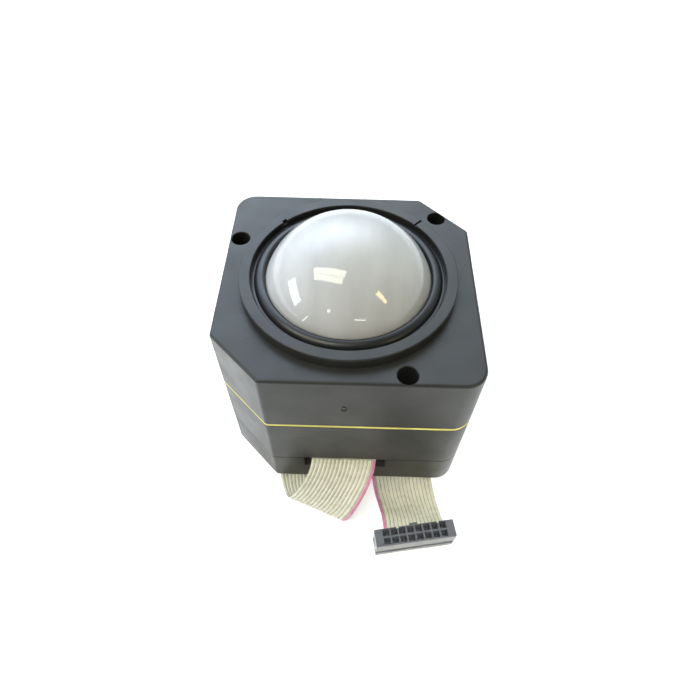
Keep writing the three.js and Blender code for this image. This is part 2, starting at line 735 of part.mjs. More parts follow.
// the cable's board-side connector, under the circuit board
function boardHeader() {
  return joined(
    box(-12.45, 12.45, -21.5, -15.5, 20.4, BOARD_Z0 - 0.05),
    box(-12.45, 12.45, -21.5, -15.5, 17.3, 18.8),
    box(-12.45, -10.9, -20.5, -16.5, 18.7, 20.5),
    box(10.9, 12.45, -20.5, -16.5, 18.7, 20.5),
  );
}

// ---------------------------------------------------------------- the assembly

place('top_housing', topHousing(), HOUSING());
place('middle_housing', middleHousing(), HOUSING());
place('bottom_cover', bottomCover(), HOUSING());
place('housing_gasket', housingGasket(), plastic(0xc9b52a, 0.6));
place('retaining_ring', retainingRing(), BLACK());
place('ball_seal', ballSeal(), plastic(0x202124, 0.8));
place('ball', ball(), plastic(0xd6d9dc, 0.08));

COVER_SCREWS.forEach(([x, y], i) => {
  place(`cover_screw_${i + 1}`, screw(x, y, HEAD_SEAT_Z, SCREW_TOP_Z, SCREW_R, SCREW_HEAD_R, 2.2), STEEL());
});

place('ball_carrier', ballCarrier(), plastic(0x2b2d30, 0.6));
CARRIER_SCREWS.forEach(([x, y], i) => {
  place(`carrier_screw_${i + 1}`, screw(x, y, CARRIER_Z1 + 0.05, 24.2, SMALL_SCREW_R, 2.3, 1.6), STEEL());
});

for (const [letter, alongX] of [['x', true], ['y', false]]) {
  place(`shaft_${letter}`, onShaft(shaft(), alongX), STEEL());
  place(`roller_${letter}`, onShaft(roller(), alongX), plastic(0x8a8f96, 0.5));
  place(`encoder_disc_${letter}`, onShaft(encoderDisc(), alongX), BLACK());
  BEARING_AT.forEach((at, i) => {
    place(`bearing_outer_${letter}${i + 1}`, onShaft(bearingOuter(at), alongX), STEEL());
    place(`bearing_inner_${letter}${i + 1}`, onShaft(bearingInner(at), alongX), STEEL());
  });
  const sensor = encoderSensor();
  place(`encoder_sensor_${letter}`, alongX ? sensor : mirroredToY(sensor), BLACK());
}

place('idler_bracket', idlerBracket(), STEEL());
place('idler_pin', idlerPin(), STEEL());
place('idler_wheel', idlerWheel(), STEEL());

place('circuit_board', circuitBoard(), plastic(0x1f5a35, 0.5));
BOARD_SCREWS.forEach(([x, y], i) => {
  place(`board_screw_${i + 1}`, screw(x, y, BOARD_Z0 - 0.05, 30.2, BOARD_SCREW_R, 2.0, 1.3), STEEL());
});
place('controller_chip', controllerChip(), BLACK());
place('crystal', extruded(roundedOutline([
  [-17, 5, 2],
  [-6, 5, 2],
  [-6, 9.6, 2],
  [-17, 9.6, 2],
]), BOARD_Z1 + 0.05, BOARD_Z1 + 3.3), STEEL());
place('capacitor_1', cylinder(2.0, BOARD_Z1 + 0.05, BOARD_Z1 + 4.2, -14, -9), plastic(0x2a2f4a, 0.4));
place('capacitor_2', cylinder(2.0, BOARD_Z1 + 0.05, BOARD_Z1 + 4.2, 13, -12), plastic(0x2a2f4a, 0.4));

place('board_header', boardHeader(), BLACK());
place('ribbon_inner', ribbon(INNER_ROWS), plastic(0xb8b394, 0.6));
place('ribbon_cable', ribbon(CABLE_ROWS), plastic(0xb8b394, 0.6));
place('socket_body', socketBody(), BLACK());
place('socket_clamp', socketClamp(), BLACK());

export default group;
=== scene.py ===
"""A panel-mount trackball module with its flat cable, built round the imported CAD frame.

Blender units are metres, +Z is up, and every place is in the CAD's row frame. Lengths in the
shape code are written as a number of millimetres times MM.
"""

import math

import bmesh
import bpy
from mathutils import Matrix, Vector


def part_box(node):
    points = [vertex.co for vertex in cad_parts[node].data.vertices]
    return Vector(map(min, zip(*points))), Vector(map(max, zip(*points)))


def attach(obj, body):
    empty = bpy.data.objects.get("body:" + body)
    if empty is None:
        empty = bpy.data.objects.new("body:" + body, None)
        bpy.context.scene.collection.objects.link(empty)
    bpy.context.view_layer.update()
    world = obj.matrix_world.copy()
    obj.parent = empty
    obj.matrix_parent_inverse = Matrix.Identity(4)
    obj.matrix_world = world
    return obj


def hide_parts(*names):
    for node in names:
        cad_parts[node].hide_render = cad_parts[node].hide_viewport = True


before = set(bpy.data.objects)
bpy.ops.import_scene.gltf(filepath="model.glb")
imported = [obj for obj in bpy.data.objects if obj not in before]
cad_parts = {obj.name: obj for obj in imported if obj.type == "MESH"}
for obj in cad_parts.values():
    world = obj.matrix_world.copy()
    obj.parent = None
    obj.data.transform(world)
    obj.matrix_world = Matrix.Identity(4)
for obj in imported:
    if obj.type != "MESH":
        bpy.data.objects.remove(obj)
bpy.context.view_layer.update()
MM = 0.001

# ---------------------------------------------------------------- camera

CAMERA_AT = (0.00091, -0.10626, 0.17478)
CAMERA_YAW, CAMERA_PITCH, CAMERA_ROLL = (math.radians(a) for a in (0.05, -54.43, 1.61))
CAMERA_LENS = 27.55
SENSOR_WIDTH = 36
NEAREST, FARTHEST = 0.005, 50


def add_camera():
    level = Vector((math.sin(CAMERA_YAW), math.cos(CAMERA_YAW), 0))
    forward = level * math.cos(CAMERA_PITCH) + Vector((0, 0, math.sin(CAMERA_PITCH)))
    right = Vector((level.y, -level.x, 0))
    up = right.cross(forward)
    across = right * math.cos(CAMERA_ROLL) + up * math.sin(CAMERA_ROLL)
    upward = up * math.cos(CAMERA_ROLL) - right * math.sin(CAMERA_ROLL)
    data = bpy.data.cameras.new("camera")
    data.sensor_width = SENSOR_WIDTH
    data.lens = CAMERA_LENS
    data.clip_start = NEAREST
    data.clip_end = FARTHEST
    camera = bpy.data.objects.new("camera", data)
    facing = Matrix((across, upward, -forward)).transposed().to_4x4()
    camera.matrix_world = Matrix.Translation(CAMERA_AT) @ facing
    bpy.context.scene.collection.objects.link(camera)
    bpy.context.scene.camera = camera


add_camera()

# ---------------------------------------------------------------- materials

PLASTIC_GLOSS = 0.34
RING_GLOSS = 0.38
RESIN_IOR = 1.49


def principled(name, colour, roughness, **inputs):
    """A plain material. Further inputs are named with an underscore for each space."""
    material = bpy.data.materials.new(name)
    material.use_nodes = True
    shader = material.node_tree.nodes["Principled BSDF"]
    shader.inputs["Base Color"].default_value = (*colour, 1)
    shader.inputs["Roughness"].default_value = roughness
    for key, value in inputs.items():
        shader.inputs[key.replace("_", " ")].default_value = value
    return material


def noise(material, scale, detail=3.0, stretch=(1, 1, 1)):
    """A noise in the row frame: scale is features per metre."""
    nodes, links = material.node_tree.nodes, material.node_tree.links
    place = nodes.new("ShaderNodeTexCoord")
    mapping = nodes.new("ShaderNodeMapping")
    mapping.inputs["Scale"].default_value = stretch
    texture = nodes.new("ShaderNodeTexNoise")
    texture.inputs["Scale"].default_value = scale
    texture.inputs["Detail"].default_value = detail
    links.new(place.outputs["Object"], mapping.inputs["Vector"])
    links.new(mapping.outputs["Vector"], texture.inputs["Vector"])
    return texture.outputs["Fac"]


def ramp(material, factor, low, high, start=0.3, stop=0.7):
    """Colours from low to high as the factor goes from start to stop."""
    node = material.node_tree.nodes.new("ShaderNodeValToRGB")
    node.color_ramp.elements[0].position = start
    node.color_ramp.elements[1].position = stop
    node.color_ramp.elements[0].color = (*low, 1)
    node.color_ramp.elements[1].color = (*high, 1)
    material.node_tree.links.new(factor, node.inputs["Fac"])
    return node.outputs["Color"]


def vary_colour(material, factor, low, high, start=0.3, stop=0.7):
    shader = material.node_tree.nodes["Principled BSDF"]
    colour = ramp(material, factor, low, high, start, stop)
    material.node_tree.links.new(colour, shader.inputs["Base Color"])


def vary_roughness(material, factor, low, high):
    shader = material.node_tree.nodes["Principled BSDF"]
    grey = ramp(material, factor, (low,) * 3, (high,) * 3)
    material.node_tree.links.new(grey, shader.inputs["Roughness"])


def add_bump(material, factor, depth):
    """Raises the surface by up to depth metres; several bumps stack."""
    nodes, links = material.node_tree.nodes, material.node_tree.links
    shader = nodes["Principled BSDF"]
    bump = nodes.new("ShaderNodeBump")
    bump.inputs["Distance"].default_value = depth
    links.new(factor, bump.inputs["Height"])
    before = shader.inputs["Normal"].links
    if before:
        links.new(before[0].from_socket, bump.inputs["Normal"])
    links.new(bump.outputs["Normal"], shader.inputs["Normal"])


def textured_plastic(name, dark, light, roughness, grain=0.02 * MM):
    """A spark-eroded moulding: a fine grain, faint flow marks, and rubbed patches."""
    material = principled(name, dark, roughness, Specular_IOR_Level=PLASTIC_GLOSS)
    vary_colour(material, noise(material, 70, 4), dark, light)
    vary_roughness(material, noise(material, 110, 3), roughness - 0.05, roughness + 0.06)
    add_bump(material, noise(material, 2600, 2), grain)
    add_bump(material, noise(material, 900, 2), grain)
    return material


def worn_metal(name, colour, roughness, scale):
    material = principled(name, colour, roughness, Metallic=1.0)
    vary_roughness(material, noise(material, scale, 4), roughness * 0.7, roughness * 1.4)
    add_bump(material, noise(material, scale * 6, 2), 0.006 * MM)
    return material


def housing_plastic():
    return textured_plastic("housing_plastic", (0.015, 0.015, 0.015), (0.021, 0.021, 0.020), 0.38)


def ring_plastic():
    material = principled("ring_plastic", (0.010, 0.0105, 0.012), 0.33, Specular_IOR_Level=RING_GLOSS)
    vary_roughness(material, noise(material, 160, 4), 0.28, 0.40)
    add_bump(material, noise(material, 1500, 2), 0.004 * MM)
    return material


def ball_resin():
    material = principled("ball_resin", (0.46, 0.46, 0.46), 0.035, IOR=RESIN_IOR)
    streaks = noise(material, 60, 5, stretch=(2.2, 0.8, 0.5))
    vary_colour(material, streaks, (0.385, 0.385, 0.39), (0.48, 0.48, 0.485))
    vary_roughness(material, noise(material, 220, 4), 0.025, 0.05)
    return material


def gasket_rubber():
    material = principled("gasket_rubber", (0.62, 0.56, 0.13), 0.6)
    vary_colour(material, noise(material, 240, 3), (0.54, 0.48, 0.09), (0.70, 0.64, 0.16))
    add_bump(material, noise(material, 3200, 2), 0.015 * MM)
    return material


def cable_sleeve(name, low, high):
    """The cable's vinyl: faintly mottled, with a slight sheen."""
    material = principled(name, low, 0.28)
    vary_colour(material, noise(material, 130, 4), low, high)
    vary_roughness(material, noise(material, 500, 3), 0.22, 0.34)
    add_bump(material, noise(material, 1800, 2), 0.012 * MM)
    return material


def board_laminate():
    material = principled("board_laminate", (0.01, 0.10, 0.03), 0.35)
    vary_colour(material, noise(material, 300, 2), (0.008, 0.085, 0.028), (0.014, 0.115, 0.038))
    add_bump(material, noise(material, 2400, 1), 0.01 * MM)
    return material


HOUSING = housing_plastic()
RING = ring_plastic()
BALL = ball_resin()
GASKET = gasket_rubber()
SLEEVE = cable_sleeve("cable_sleeve", (0.42, 0.41, 0.32), (0.49, 0.48, 0.38))
STRIPE = cable_sleeve("cable_stripe", (0.36, 0.13, 0.20), (0.42, 0.18, 0.26))
# The valley material is painted shade: a darker vinyl that stands in for the shade falling in the grooves
# between conductors.
VALLEY_SHADE = cable_sleeve("cable_valley_shade", (0.20, 0.20, 0.18), (0.26, 0.26, 0.24))
SOCKET = textured_plastic("socket_plastic", (0.078, 0.083, 0.094), (0.096, 0.102, 0.114), 0.17, 0.006 * MM)
BLACK = textured_plastic("inner_plastic", (0.018, 0.019, 0.021), (0.026, 0.027, 0.030), 0.5)
SEAL = textured_plastic("seal_rubber", (0.012, 0.012, 0.013), (0.020, 0.020, 0.021), 0.7)
ROLLER = textured_plastic("roller_sleeve", (0.20, 0.21, 0.23), (0.27, 0.28, 0.30), 0.55)
CHIP = textured_plastic("chip_package", (0.012, 0.012, 0.013), (0.018, 0.018, 0.020), 0.45, 0.01 * MM)
CAPACITOR = textured_plastic(
    "capacitor_sleeve", (0.010, 0.020, 0.085), (0.016, 0.030, 0.11), 0.3, 0.004 * MM
)
BOARD = board_laminate()
STEEL = worn_metal("plated_steel", (0.55, 0.55, 0.54), 0.34, 400)
BRIGHT = worn_metal("bright_steel", (0.72, 0.72, 0.73), 0.16, 300)
# The contacts' metal is painted dark: a painted shade that stands in for the shade deep inside the wells.
SHADED_CONTACT = worn_metal("contact_metal_shaded", (0.20, 0.19, 0.17), 0.4, 500)

# ---------------------------------------------------------------- shapes


def place_mesh(name, mesh):
    piece = bpy.data.objects.new(name, mesh)
    bpy.context.scene.collection.objects.link(piece)
    return piece


def make(name, points, faces):
    mesh = bpy.data.meshes.new(name)
    mesh.from_pydata([tuple(p) for p in points], [], faces)
    return place_mesh(name, mesh)


def finish_work(name, work):
    """A piece made from a bmesh, which is used up."""
    mesh = bpy.data.meshes.new(name)
    work.to_mesh(mesh)
    work.free()
    return place_mesh(name, mesh)


def tidy(piece):
    """Merges doubled points and turns every face outwards."""
    work = bmesh.new()
    work.from_mesh(piece.data)
    bmesh.ops.remove_doubles(work, verts=work.verts, dist=0.0005 * MM)
    bmesh.ops.recalc_face_normals(work, faces=work.faces)
    work.to_mesh(piece.data)
    work.free()
    return piece


def skin(name, rings, loop=False):
    """A solid through a stack of rings of points, closed by its two ends or round on itself."""
    count = len(rings[0])
    faces = []
    for i in range(len(rings) if loop else len(rings) - 1):
        low, high = i * count, (i + 1) % len(rings) * count
        for k in range(count):
            after = (k + 1) % count
            faces.append((low + k, low + after, high + after, high + k))
    if not loop:
        faces.append(tuple(reversed(range(count))))
        faces.append(tuple(range((len(rings) - 1) * count, len(rings) * count)))
    return tidy(make(name, [p for ring in rings for p in ring], faces))


def eased(corners, loop=True, steps=4):
    """A flat outline with each corner rounded by its own third number, where it has one."""
    out = []
    for i, (x, y, *rest) in enumerate(corners):
        corner = Vector((x, y))
        ends = not loop and i in (0, len(corners) - 1)
        if not rest or ends:
            out.append(corner)
            continue
        before = (Vector(corners[i - 1][:2]) - corner).normalized()
        after = (Vector(corners[(i + 1) % len(corners)][:2]) - corner).normalized()
        half = before.angle(after) / 2
        centre = corner + (before + after).normalized() * rest[0] / math.sin(half)
        first = corner + before * rest[0] / math.tan(half) - centre
        last = corner + after * rest[0] / math.tan(half) - centre
        turn = first.angle_signed(last)
        for step in range(steps + 1):
            angle = -turn * step / steps
            out.append(centre + Matrix.Rotation(angle, 2) @ first)
    return out


def turned(name, profile, segments=160, loop=True):
    """A profile of radius and height, in metres, turned round the Z axis."""
    rings = []
    for step in range(segments):
        angle = 2 * math.pi * step / segments
        rings.append([(r * math.cos(angle), r * math.sin(angle), z) for r, z in profile])
    count = len(profile)
    faces = []
    for i in range(segments):
        here, there = i * count, (i + 1) % segments * count
        for k in range(count if loop else count - 1):
            after = (k + 1) % count
            faces.append((here + k, here + after, there + after, there + k))
    return tidy(make(name, [p for ring in rings for p in ring], faces))


def disc(name, profile, at=(0, 0), segments=64):
    """A turned solid whose profile starts and ends on its axis, moved to a place in x and y."""
    piece = turned(name, eased(profile, loop=False), segments, loop=False)
    piece.data.transform(Matrix.Translation((at[0], at[1], 0)))
    return piece


def span(middle, half):
    return middle - half, middle + half


def square(x, y, half, z):
    """The corners of a flat square round a middle."""
    (left, right), (front, back) = span(x, half), span(y, half)
    return [(left, front, z), (right, front, z), (right, back, z), (left, back, z)]


def round_edges(work, radius, segments):
    edges = work.edges[:]
    bmesh.ops.bevel(work, geom=edges, offset=radius, segments=segments, affect="EDGES", profile=0.5)


def block(name, x, y, z, radius=0.0):
    """A box between a low and a high value on each axis, with its edges rounded."""
    low, high = (Vector(corner) for corner in zip(x, y, z))
    work = bmesh.new()
    bmesh.ops.create_cube(work, size=1)
    bmesh.ops.scale(work, verts=work.verts, vec=high - low)
    bmesh.ops.translate(work, verts=work.verts, vec=(low + high) / 2)
    if radius:
        round_edges(work, radius, 2)
    return finish_work(name, work)


def settle(piece):
    """Makes a piece's modifiers part of its mesh."""
    graph = bpy.context.evaluated_depsgraph_get()
    mesh = bpy.data.meshes.new_from_object(piece.evaluated_get(graph))
    piece.modifiers.clear()
    piece.data = mesh


def combine(piece, operation, *others):
    """Cuts, joins or meets a piece with others, which are used up."""
    for other in others:
        modifier = piece.modifiers.new("combine", "BOOLEAN")
        modifier.operation = operation
        modifier.solver = "EXACT"
        modifier.object = other
        settle(piece)
        bpy.data.objects.remove(other)
    return piece


def cut(piece, *others):
    return combine(piece, "DIFFERENCE", *others)


def join(piece, *others):
    return combine(piece, "UNION", *others)


def shade(piece, sharp=35):
    """Smooth shading that keeps flat faces flat and corners crisp."""
    piece.data.shade_smooth()
    piece.data.set_sharp_from_angle(angle=math.radians(sharp))
    weighted = piece.modifiers.new("normals", "WEIGHTED_NORMAL")
    weighted.keep_sharp = True
    settle(piece)
    return piece


def mount(piece, material, slot, body, *nodes):
    """Gives a piece its material and its body, and lets it stand for CAD nodes."""
    if material:
        piece.data.materials.clear()
        piece.data.materials.append(material)
    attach(piece, body)
    if nodes:
        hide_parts(*nodes)
    return piece


# ---------------------------------------------------------------- flat cable

CABLE_WIDTH = 0.02032
CONDUCTORS = 16
RIDGE_R = 0.45 * MM
WEB_HALF = 0.16 * MM
ROWS_BETWEEN = 6
LOWEST = 0.03 * MM

# Where each conductor's section has its points, in shares of the pitch from its middle.
RIDGE_SHARES = (-0.5, -0.4, -0.33, -0.22, -0.1, 0.1, 0.22, 0.33, 0.4)
# How much of the last conductor is striped, and how much of each side of a conductor is valley, where the
# grooves' shade is painted darker.
STRIPE_SHARE = 0.85
SHADED_VALLEY_SHARE = 0.1

# Each row crosses the cable from its plain edge to its striped edge, as in the CAD.
CABLE_ROWS = [
    ((-0.01016, -0.0359, 0.0163), (0.01016, -0.0359, 0.0163)),
    ((-0.0105, -0.0381, 0.0157), (0.0097, -0.0386, 0.0160)),
    ((-0.0116, -0.0404, 0.0137), (0.0085, -0.0422, 0.0142)),
    ((-0.0132, -0.0423, 0.0112), (0.0066, -0.0457, 0.0118)),
    ((-0.0151, -0.0436, 0.0082), (0.0044, -0.0487, 0.0088)),
    ((-0.0168, -0.0439, 0.0053), (0.0024, -0.0505, 0.0059)),
    ((-0.0179, -0.0434, 0.0032), (0.0012, -0.0509, 0.0039)),
    ((-0.0187, -0.0423, 0.0015), (0.0004, -0.0501, 0.0018)),
    ((-0.0194, -0.0409, 0.0007), (-0.0002, -0.0483, 0.00075)),
    ((-0.0204, -0.0384, 0.0005), (-0.0009, -0.0444, 0.0005)),
    ((-0.0216, -0.0340, 0.0005), (-0.0015, -0.0372, 0.0005)),
    ((-0.0223, -0.0290, 0.0005), (-0.00205, -0.0303, 0.0005)),
    ((-0.02266, -0.0220, 0.0005), (-0.00234, -0.0220, 0.0005)),
    "fold left",
    ((-0.0005, -0.01816, 0.0017), (-0.0005, 0.00216, 0.0017)),
    ((0.0035, -0.01816, 0.0011), (0.0035, 0.00216, 0.0011)),
    ((0.0075, -0.01816, 0.0005), (0.0075, 0.00216, 0.0005)),
    "fold right",
    ((0.02946, -0.0200, 0.0017), (0.00914, -0.0200, 0.0017)),
    ((0.0295, -0.0255, 0.0011), (0.0092, -0.0252, 0.0011)),
    ((0.0296, -0.0310, 0.0005), (0.00935, -0.0304, 0.0005)),
    ((0.0300, -0.0365, 0.0005), (0.00975, -0.0354, 0.0005)),
    ((0.0308, -0.0420, 0.00065), (0.0106, -0.0404, 0.00065)),
    ((0.0317, -0.0466, 0.0015), (0.0116, -0.0442, 0.0015)),
    ((0.0323, -0.0500, 0.0028), (0.01225, -0.0471, 0.0028)),
    ((0.03266, -0.0520, 0.00345), (0.01262, -0.0489, 0.00345)),
    ((0.0332, -0.0565, 0.00345), (0.0132, -0.0532, 0.00345)),
]

# The two flat folds under the housing: where the crease runs, and which way it points.
FOLDS = {
    "fold left": ((-0.02266, -0.01816), (-0.00234, 0.00216), (-math.sqrt(0.5), math.sqrt(0.5))),
    "fold right": ((0.02946, -0.01816), (0.00914, 0.00216), (math.sqrt(0.5), math.sqrt(0.5))),
}
LAYER_Z = (0.0005, 0.0017)
SHORTEST_GAP = 1e-7


def fold_rows(edge, stripe, out):
    """The half turn of a flat fold, from the layer below to the layer above."""
    middle, radius = sum(LAYER_Z) / 2, (LAYER_Z[1] - LAYER_Z[0]) / 2
    rows = []
    for degrees in (0, 45, 90, 135, 180):
        angle = math.radians(degrees)
        reach, z = radius * math.sin(angle), middle - radius * math.cos(angle)
        rows.append(tuple(Vector((x + out[0] * reach, y + out[1] * reach, z)) for x, y in (edge, stripe)))
    return rows


def cable_rows():
    rows = []
    for row in CABLE_ROWS:
        if isinstance(row, str):
            rows += fold_rows(*FOLDS[row])
        else:
            rows.append((Vector(row[0]), Vector(row[1])))
    return rows


def through(a, b, c, d, t):
    """A point between b and c on the centripetal Catmull-Rom curve through four points."""
    def gap(p, q):
        return max((q - p).length, SHORTEST_GAP) ** 0.5

    t0, t1 = 0.0, gap(a, b)
    t2 = t1 + gap(b, c)
    t3 = t2 + gap(c, d)
    s = t1 + (t2 - t1) * t
    one = a * ((t1 - s) / (t1 - t0)) + b * ((s - t0) / (t1 - t0))
    two = b * ((t2 - s) / (t2 - t1)) + c * ((s - t1) / (t2 - t1))
    three = c * ((t3 - s) / (t3 - t2)) + d * ((s - t2) / (t3 - t2))
    left = one * ((t2 - s) / (t2 - t0)) + two * ((s - t0) / (t2 - t0))
    right = two * ((t3 - s) / (t3 - t1)) + three * ((s - t1) / (t3 - t1))
    return left * ((t2 - s) / (t2 - t1)) + right * ((s - t1) / (t2 - t1))


def smoothed(points):
    """More points between the given ones, on a curve that passes through them all."""
    first, last = points[0] * 2 - points[1], points[-1] * 2 - points[-2]
    run = [first, *points, last]
    out = []
    for i in range(1, len(run) - 2):
        for step in range(ROWS_BETWEEN):
            out.append(through(*run[i - 1 : i + 3], step / ROWS_BETWEEN))
    return [*out, points[-1]]


def ridge_profile():
    """Half the cable's section, from its plain edge to its striped edge: share across, height."""
    pitch = CABLE_WIDTH / CONDUCTORS
    profile = []
    for conductor in range(CONDUCTORS):
        for share in RIDGE_SHARES:
            x = share * pitch
            height = math.sqrt(max(RIDGE_R**2 - x * x, 0))
            profile.append(((conductor + 0.5 + share) / CONDUCTORS, max(height, WEB_HALF)))
    profile.append((1.0, WEB_HALF))
    return profile


def paint_cable(cable, section):
    """The striped edge takes the second material and the valleys the third, a darker colour that paints
    the shade in the grooves.
    """
    for material in (SLEEVE, STRIPE, VALLEY_SHADE):
        cable.data.materials.append(material)
    count = len(section)
    for face in cable.data.polygons[:-2]:
        here, there = section[face.index % count], section[(face.index + 1) % count]
        share = (here[0] + there[0]) / 2
        if share > 1 - STRIPE_SHARE / CONDUCTORS:
            face.material_index = 1
        # Faces in the valleys take the painted groove shade.
        elif abs(share * CONDUCTORS % 1 - 0.5) > 0.5 - SHADED_VALLEY_SHARE:
            face.material_index = 2


def flat_cable():
    """The cable and the line along its middle, which stays clear of the floor."""
    rows = cable_rows()
    edges = smoothed([edge for edge, _ in rows])
    stripes = smoothed([stripe for _, stripe in rows])
    middles = [(a + b) / 2 for a, b in zip(edges, stripes)]
    half = ridge_profile()
    section = half + [(share, -height) for share, height in reversed(half)]
    rings = []
    for i, (edge, stripe) in enumerate(zip(edges, stripes)):
        forward = middles[min(i + 1, len(middles) - 1)] - middles[max(i - 1, 0)]
        normal = (stripe - edge).cross(forward).normalized()
        ring = [edge.lerp(stripe, share) + normal * height for share, height in section]
        for point in ring:
            point.z = max(point.z, LOWEST)
        rings.append(ring)
    cable = skin("flat_cable", rings)
    paint_cable(cable, section)
    return cable, middles


cable, cable_line = flat_cable()
cable.data.shade_smooth()
cable.data.set_sharp_from_angle(angle=math.radians(60))
mount(cable, None, "ribbon", "housing", "ribbon_cable")

# ---------------------------------------------------------------- socket on the cable

SOCKET_AT = Vector((0.0225, -0.0560, 0))
SOCKET_YAW = math.radians(9.4)
SOCKET_LENGTH = 24.9 * MM
SOCKET_WIDTH = 5.2 * MM
SOCKET_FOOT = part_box("socket_body")[0].z
SOCKET_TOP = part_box("socket_body")[1].z
CONTACT_PITCH = 2.54 * MM
COLUMNS = 8

BEVEL = 0.65 * MM
KEY_HALF = 1.2 * MM
KEY_REACH = 0.7 * MM
KEY_FOOT = 5.4 * MM
WELL_HALF = 0.9 * MM
WELL_DEPTH = 4.9 * MM
MOUTH_HALF = WELL_HALF + 0.18 * MM
MOUTH_DEPTH = 0.35 * MM
NOTCH_HALF = 0.4 * MM
NOTCH_DEPTH = 2.2 * MM
NOTCHES = (-2 * CONTACT_PITCH, 3 * CONTACT_PITCH)
LATCH_HALF = 1.3 * MM
LATCH_Z = (SOCKET_FOOT + 0.8 * MM, SOCKET_FOOT + 2.6 * MM)

CLAMP_Z = (0.05 * MM, 2.75 * MM)
ARM_LENGTH = 1.1 * MM
ARM_HALF = 1.4 * MM
ARM_Z = (2.2 * MM, 3.9 * MM)
GROOVE_HALF = 0.3 * MM
GROOVE_Z = (2.6 * MM, 2.9 * MM)

LEAF_SIZE = (0.9 * MM, 0.16 * MM, 2.2 * MM)
LEAF_TILT = 0.14
LEAF_OFFSET = 0.45 * MM
LEAF_DEPTH = 3.6 * MM


def at_socket(piece):
    piece.data.transform(Matrix.Translation(SOCKET_AT) @ Matrix.Rotation(SOCKET_YAW, 4, "Z"))
    return piece


def contact_places():
    for column in range(COLUMNS):
        for row in (-0.5, 0.5):
            yield (column - (COLUMNS - 1) / 2) * CONTACT_PITCH, row * CONTACT_PITCH


def front_bevel(half_l, half_w):
    """What is cut away along the front upper edge of the socket."""
    over = 0.2 * MM
    corners = [
        (-half_w - over, SOCKET_TOP - BEVEL - over),
        (-half_w + BEVEL + over, SOCKET_TOP + over),
        (-half_w - over, SOCKET_TOP + over),
    ]
    return skin("bevel", [[(x, y, z) for y, z in corners] for x in span(0, half_l + MM)])


def socket_body():
    """The socket's shell, with a key, sixteen flared wells, two notches and a latch at each end."""
    half_l, half_w = SOCKET_LENGTH / 2, SOCKET_WIDTH / 2
    body = block("socket_shell", span(0, half_l), span(0, half_w), (SOCKET_FOOT, SOCKET_TOP), 0.22 * MM)
    cut(body, front_bevel(half_l, half_w))
    key_y, key_z = (half_w - 0.6 * MM, half_w + KEY_REACH), (KEY_FOOT, SOCKET_TOP - 0.3 * MM)
    join(body, block("key", span(0, KEY_HALF), key_y, key_z, 0.2 * MM))
    well_z = (SOCKET_TOP - WELL_DEPTH, SOCKET_TOP + MM)
    for x, y in contact_places():
        cut(body, block("well", span(x, WELL_HALF), span(y, WELL_HALF), well_z))
        cut(body, skin("mouth", [
            square(x, y, WELL_HALF, SOCKET_TOP - MOUTH_DEPTH),
            square(x, y, MOUTH_HALF, SOCKET_TOP + 0.05 * MM),
        ]))
    notch_y, notch_z = (half_w - 0.5 * MM, half_w + MM), (SOCKET_TOP - NOTCH_DEPTH, SOCKET_TOP + MM)
    for x in NOTCHES:
        cut(body, block("notch", span(x, NOTCH_HALF), notch_y, notch_z))
    for side in (-1, 1):
        ends = sorted((side * (half_l - 0.9 * MM), side * (half_l + MM)))
        cut(body, block("latch", ends, span(0, LATCH_HALF), LATCH_Z))
    return shade(at_socket(body), 30)


def socket_clamp():
    """The cover that presses the cable in, with an arm at each end and a groove for each wire."""
    half_l, half_w = SOCKET_LENGTH / 2, SOCKET_WIDTH / 2
    clamp = block("socket_cover", span(0, half_l), span(0, half_w), CLAMP_Z, 0.3 * MM)
    for side in (-1, 1):
        ends = sorted((side * (half_l - ARM_LENGTH), side * half_l))
        join(clamp, block("arm", ends, span(0, ARM_HALF), ARM_Z, 0.15 * MM))
    for wire in range(CONDUCTORS):
        x = (wire - (CONDUCTORS - 1) / 2) * CONTACT_PITCH / 2
        cut(clamp, block("groove", span(x, GROOVE_HALF), span(0, half_w + MM), GROOVE_Z))
    return shade(at_socket(clamp), 30)


def socket_contacts():
    """Two sprung leaves of metal in each well, set back from its mouth."""
    contacts = bmesh.new()
    for x, y in contact_places():
        for side in (-1, 1):
            leaf = bmesh.ops.create_cube(contacts, size=1)["verts"]
            tilt = Matrix.Rotation(side * LEAF_TILT, 3, "X")
            place = (x, y + side * LEAF_OFFSET, SOCKET_TOP - LEAF_DEPTH)
            bmesh.ops.scale(contacts, verts=leaf, vec=LEAF_SIZE)
            bmesh.ops.rotate(contacts, verts=leaf, cent=(0, 0, 0), matrix=tilt)
            bmesh.ops.translate(contacts, verts=leaf, vec=place)
    round_edges(contacts, 0.04 * MM, 1)
    return at_socket(finish_work("socket_leaves", contacts))


socket_shell = mount(socket_body(), SOCKET, "connector", "housing", "socket_body")
socket_cover = mount(socket_clamp(), SOCKET, "connector", "housing", "socket_clamp")
socket_leaves = mount(socket_contacts(), SHADED_CONTACT, "connector", "housing")

# ---------------------------------------------------------------- housing

HALF_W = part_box("top_housing")[1].x
HALF_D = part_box("top_housing")[1].y
FOOT_Z = 3.0 * MM
SEAM_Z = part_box("bottom_cover")[1].z
GASKET_EXTRA = 0.13 * MM
GASKET_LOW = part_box("middle_housing")[1].z - GASKET_EXTRA
GASKET_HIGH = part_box("top_housing")[0].z + GASKET_EXTRA
FLANGE_Z = 61.5 * MM
BOSS_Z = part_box("top_housing")[1].z
CHAMFER = 14.2 * MM
CORNER_R = 6.2 * MM
CHAMFER_END_R = 1.6 * MM
WALL = 2.6 * MM
EDGE_R = 0.75 * MM
SEAM_R = 0.22 * MM

BOSS_R = 31.0 * MM
SEAT_R = 27.75 * MM
SEAT_Z = 62.9 * MM
LEDGE_R = 26.4 * MM
LEDGE_Z = 60.2 * MM
GROOVE_R = 28.1 * MM
BORE_FOOT = 56 * MM

